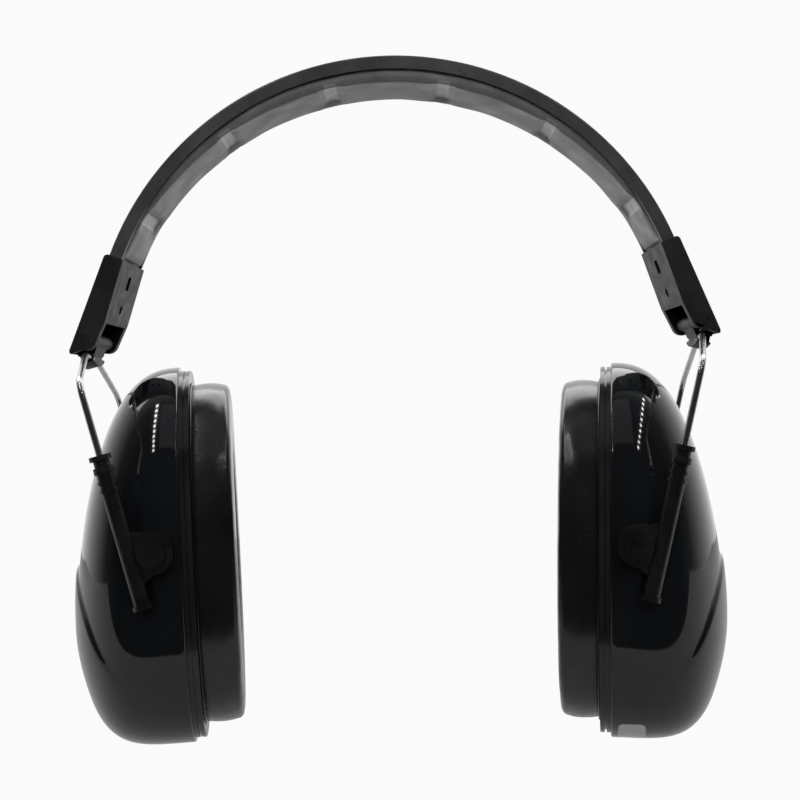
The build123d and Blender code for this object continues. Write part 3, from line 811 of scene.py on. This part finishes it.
PALE = 0.96                   # what the camera sees of the plain floor and backdrop
FLOOR_GREY = 0.32             # what light and reflections find there
FLOOR_FRONT, FLOOR_BACK, FLOOR_SIDE = -0.12, 0.9, 0.9
FLOOR_DROP = 32.0             # clear of the cups with their sliders right down


def camera_sees(tree, pale, otherwise, output):
    """Shows pale to the camera, and otherwise to light and reflections."""
    path = tree.nodes.new("ShaderNodeLightPath")
    mix = tree.nodes.new("ShaderNodeMixShader")
    tree.links.new(path.outputs["Is Camera Ray"], mix.inputs[0])
    tree.links.new(otherwise.outputs[0], mix.inputs[1])
    tree.links.new(pale.outputs[0], mix.inputs[2])
    tree.links.new(mix.outputs[0], output.inputs[0])
    for socket, value in zip(pale.inputs, ((1, 1, 1, 1), PALE)):
        socket.default_value = value


def make_floor():
    height = cad_bounds[0][2] - mm(FLOOR_DROP)
    corners = [(-FLOOR_SIDE, FLOOR_FRONT, height), (FLOOR_SIDE, FLOOR_FRONT, height),
               (FLOOR_SIDE, FLOOR_BACK, height), (-FLOOR_SIDE, FLOOR_BACK, height)]
    mesh = bpy.data.meshes.new("floor")
    mesh.from_pydata(corners, [], [(0, 1, 2, 3)])
    floor = bpy.data.objects.new("floor", mesh)
    bpy.context.scene.collection.objects.link(floor)
    look = bpy.data.materials.new("floor_look")
    look.use_nodes = True
    tree = look.node_tree
    tree.nodes.clear()
    output = tree.nodes.new("ShaderNodeOutputMaterial")
    soft = tree.nodes.new("ShaderNodeBsdfDiffuse")
    soft.inputs[0].default_value = (FLOOR_GREY, FLOOR_GREY, FLOOR_GREY, 1)
    camera_sees(tree, tree.nodes.new("ShaderNodeEmission"), soft, output)
    mesh.materials.append(look)


make_floor()


def area_light(name, place, aim, size, power, glossy=True):
    """An area light that the camera doesn't see; glossy says whether reflections show it."""
    data = bpy.data.lights.new(name, "AREA")
    data.shape = "RECTANGLE"
    data.size, data.size_y = size
    data.energy = power
    light = bpy.data.objects.new(name, data)
    bpy.context.scene.collection.objects.link(light)
    light.location = place
    light.rotation_euler = (Vector(aim) - Vector(place)).to_track_quat("-Z", "Y").to_euler()
    light.visible_camera = False
    light.visible_glossy = glossy


MIDDLE = (0, 0, -0.09)
area_light("softbox_top", (0, 0.85, 1.1), MIDDLE, (2.8, 1.0), 20)
area_light("fill_top", (0, -0.3, 1.4), MIDDLE, (1.6, 1.6), 12, glossy=False)
area_light("fill_front", (0, -1.6, 0.5), MIDDLE, (1.4, 1.0), 24, glossy=False)
area_light("dim_panel", (0, -0.28, 0.5), (0, -0.28, 0), (0.40, 0.5), 0.13)
area_light("edge_left", (-1.0, 0.3, 0.1), MIDDLE, (0.5, 1.2), 4, glossy=False)
area_light("edge_right", (1.0, 0.3, 0.1), MIDDLE, (0.5, 1.2), 4, glossy=False)


LAMPS = 10                    # in each row
LAMP_SIZE = (0.026, 0.026)
LAMP_POWER = 0.05


def lamp_row(name, start, end):
    """A row of small lamps overhead, which the glossy shells reflect as a column of dots."""
    for lamp in range(LAMPS):
        place = Vector(start).lerp(Vector(end), lamp / (LAMPS - 1))
        area_light(f"{name}_{lamp}", place, place - Vector((0, 0, 1)), LAMP_SIZE, LAMP_POWER)


lamp_row("lamps_left", (-0.238, -0.02, 0.45), (-0.271, -0.495, 0.45))
lamp_row("lamps_right", (0.405, 0.07, 0.45), (0.262, -0.53, 0.45))


WORLD_LEVELS = ((0.30, 0.03), (0.5, 0.10), (0.72, 0.55), (1.0, 1.0))   # from front to rear


def make_world():
    """Pale where the camera sees it. Light and reflections find it dark in front, pale behind."""
    world = bpy.data.worlds.new("studio")
    bpy.context.scene.world = world
    world.use_nodes = True
    tree = world.node_tree
    tree.nodes.clear()
    output = tree.nodes.new("ShaderNodeOutputWorld")
    lit = tree.nodes.new("ShaderNodeBackground")
    direction = tree.nodes.new("ShaderNodeTexCoord")
    split = tree.nodes.new("ShaderNodeSeparateXYZ")
    spread = tree.nodes.new("ShaderNodeMapRange")
    ramp = tree.nodes.new("ShaderNodeValToRGB")
    set_range(spread, -1.0, 1.0, 0.0, 1.0)
    elements = ramp.color_ramp.elements
    while len(elements) < len(WORLD_LEVELS):
        elements.new(0.5)
    for element, (position, level) in zip(elements, WORLD_LEVELS):
        element.position = position
        element.color = (level, level, level, 1)
    tree.links.new(direction.outputs["Generated"], split.inputs[0])
    tree.links.new(split.outputs["Y"], spread.inputs["Value"])
    tree.links.new(spread.outputs[0], ramp.inputs[0])
    tree.links.new(ramp.outputs[0], lit.inputs[0])
    camera_sees(tree, tree.nodes.new("ShaderNodeBackground"), lit, output)


make_world()
bpy.context.scene.view_settings.view_transform = "Standard"
